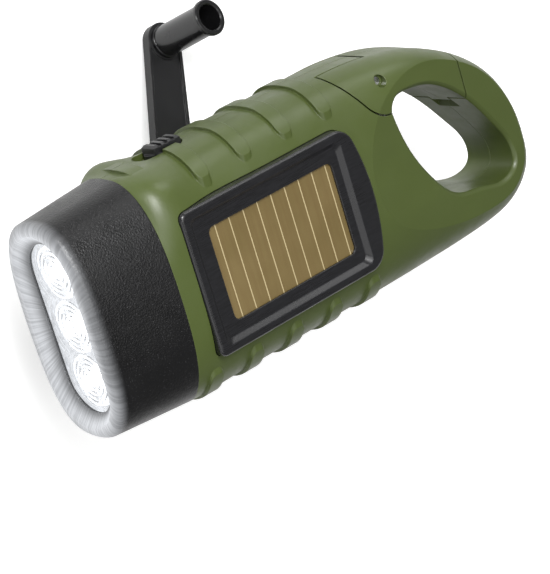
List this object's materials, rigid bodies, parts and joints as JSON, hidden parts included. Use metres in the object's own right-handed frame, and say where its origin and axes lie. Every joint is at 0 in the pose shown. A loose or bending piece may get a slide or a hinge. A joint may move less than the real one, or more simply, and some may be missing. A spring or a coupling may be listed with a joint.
{
  "type": "hand crank flashlight",
  "caption": "Hand crank flashlight: oval green body with a three-lamp head, solar panel, side switch, folding crank and a carabiner loop handle with a spring gate.",
  "frame": {"origin": "centre of the bounding box in plan, on the surface that the torch stands on", "axes": "+X from the lens to the tip of the handle, +Y towards the switch and the gate, +Z towards the solar panel"},
  "size_m": [0.1356, 0.075, 0.0525],
  "materials": {
    "green_shell": "satin green",
    "black_plastic": "satin grained",
    "black_gloss": "gloss",
    "clear_lens": "clear polished",
    "bright_reflector": "vacuum metallised",
    "led_clear": "clear domed",
    "solar_amber": "laminated",
    "board_green": "solder resist",
    "steel": "bright",
    "spring_steel": "drawn wire",
    "gear_white": "moulded",
    "gear_brass": "cut",
    "copper_core": "varnished winding",
    "magnet": "sintered",
    "zinc": "plated",
    "grey_plastic": "moulded",
    "battery_wrap": "shrink sleeve"
  },
  "bodies": {
    "body": {"solar_side_shell": "green_shell", "crank_side_shell": "green_shell", "head_bezel": "black_plastic", "front_lens": "clear_lens", "reflector": "bright_reflector", "led_left": "led_clear", "led_centre": "led_clear", "led_right": "led_clear", "led_board": "board_green", "solar_frame": "black_plastic", "solar_cell": "solar_amber", "gate_pin": "steel", "gate_spring": "spring_steel", "slide_switch": "zinc", "crank_bush": "grey_plastic", "first_axle": "steel", "second_axle": "steel", "gear_plate": "grey_plastic", "plate_screws": "steel", "generator_can": "zinc", "generator_stator": "copper_core", "battery": "battery_wrap", "main_board": "board_green", "board_screws": "steel", "shell_screws": "steel"},
    "crank": {"crank_hub": "black_plastic", "drive_shaft": "steel", "drive_gear": "gear_white", "shaft_clip": "spring_steel", "arm_hinge_pin": "steel"},
    "arm": {"crank_arm": "black_plastic", "knob_screw": "steel"},
    "knob": {"crank_knob": "black_gloss"},
    "gate": {"gate_solar_half": "green_shell", "gate_crank_half": "green_shell"},
    "switch": {"switch_slider": "black_plastic"},
    "first_wheel": {"first_gear": "gear_white"},
    "second_wheel": {"second_gear": "gear_white"},
    "rotor": {"rotor_pinion": "gear_brass", "rotor_shaft": "steel", "generator_rotor": "magnet"}
  },
  "joints": [
    {"name": "crank_spin", "type": "hinge", "parent": "body", "child": "crank", "pos_m": [-0.02025, -0.01005, 0.03604], "axis": [0, 0, -1], "continuous": true},
    {"name": "arm_fold", "type": "hinge", "parent": "crank", "child": "arm", "pos_m": [-0.02025, -0.01005, 0.01869], "axis": [-0.866, 0.5, 0], "range_deg": [-20, 160]},
    {"name": "knob_spin", "type": "hinge", "parent": "arm", "child": "knob", "pos_m": [0.00174, 0.02804, 0.00269], "axis": [0.171, 0.2962, 0.9397], "continuous": true},
    {"name": "gate_open", "type": "hinge", "parent": "body", "child": "gate", "pos_m": [0.02375, 0.01095, 0.03604], "axis": [0, 0, -1], "range_deg": [0, 17], "stiffness_Nm_per_rad": 0.06, "springref_deg": -28.65},
    {"name": "switch_slide", "type": "slide", "parent": "body", "child": "switch", "axis": [1, 0, 0], "range_m": [-0.0028, 0]},
    {"name": "first_wheel_spin", "type": "hinge", "parent": "body", "child": "first_wheel", "pos_m": [-0.00225, -0.01005, 0.03604], "axis": [0, 0, -1], "continuous": true},
    {"name": "second_wheel_spin", "type": "hinge", "parent": "body", "child": "second_wheel", "pos_m": [0.00601, -0.02185, 0.03604], "axis": [0, 0, -1], "continuous": true},
    {"name": "rotor_spin", "type": "hinge", "parent": "body", "child": "rotor", "pos_m": [-0.00527, -0.01774, 0.03604], "axis": [0, 0, -1], "continuous": true}
  ],
  "couplings": [
    {"joint": "first_wheel_spin", "follows": "crank_spin", "ratio": -4},
    {"joint": "second_wheel_spin", "follows": "crank_spin", "ratio": 12},
    {"joint": "rotor_spin", "follows": "crank_spin", "ratio": -36}
  ]
}
